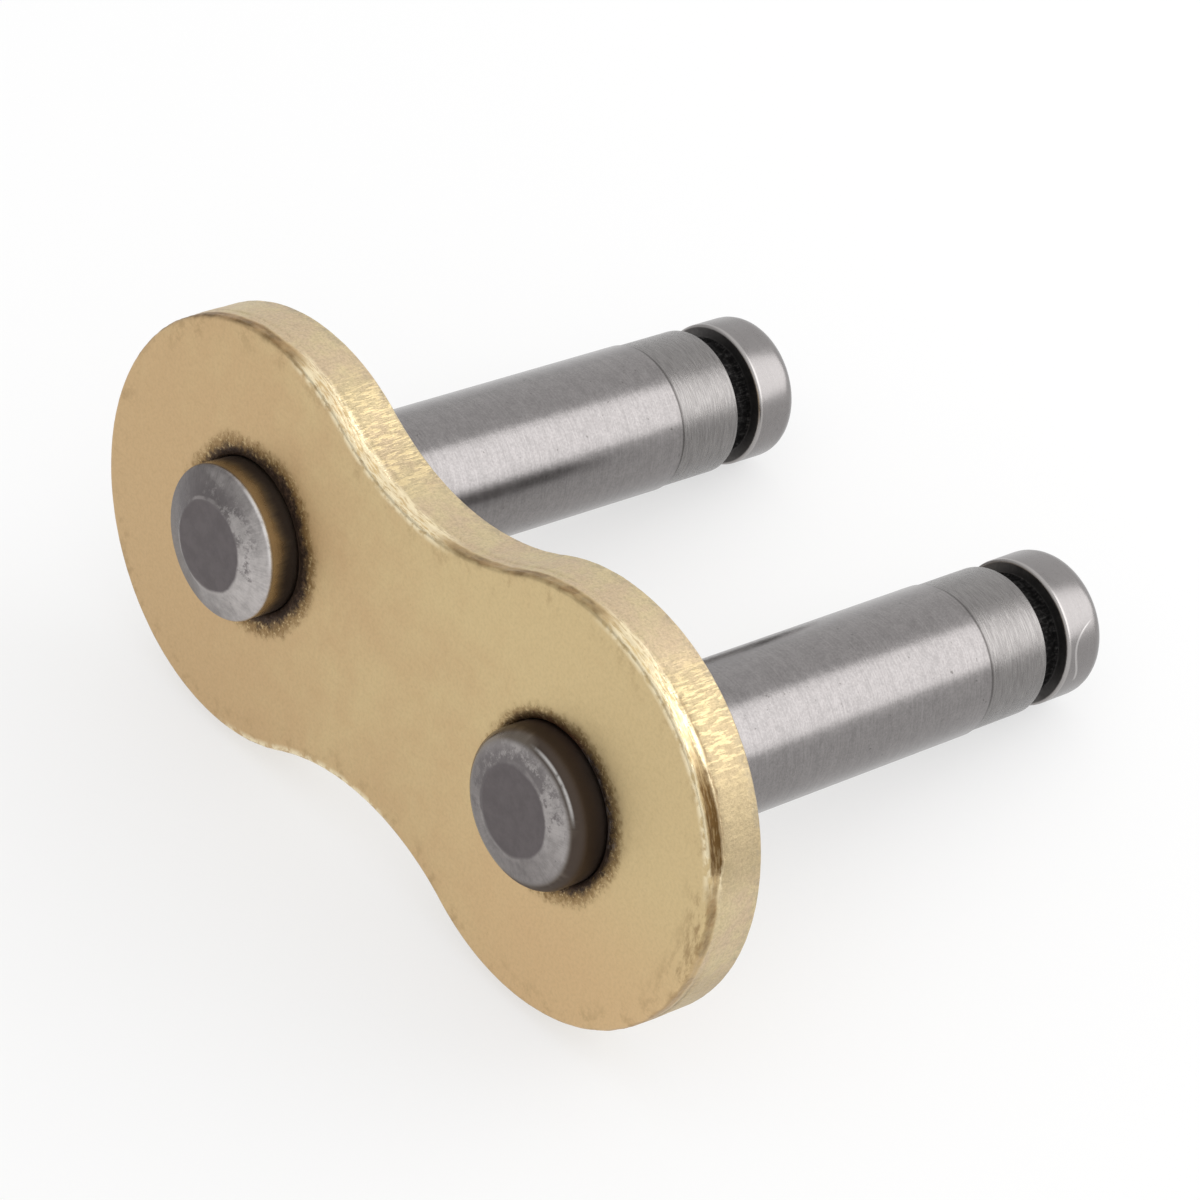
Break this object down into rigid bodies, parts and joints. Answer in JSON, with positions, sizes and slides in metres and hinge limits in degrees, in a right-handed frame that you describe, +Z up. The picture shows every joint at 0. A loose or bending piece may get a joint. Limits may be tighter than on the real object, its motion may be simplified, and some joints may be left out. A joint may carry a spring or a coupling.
{
  "type": "chain connecting link",
  "caption": "Pin half of a roller chain connecting link: a waisted side plate with grooved parallel pins pressed through it.",
  "frame": {"origin": "middle of the footprint, on the level surface that the link lies on", "axes": "+X from the left pin to the right pin, +Y from the plate towards the pin heads (the pins slope 13.6 degrees down that way), +Z up"},
  "size_m": [0.0248, 0.0198, 0.0121],
  "materials": {
    "gold_plate": "satin gold plating on blanked steel",
    "pin_steel": "ground, hardened steel"
  },
  "bodies": {
    "root": {"side_plate": "gold_plate", "left_pin": "pin_steel", "right_pin": "pin_steel"}
  },
  "joints": []
}
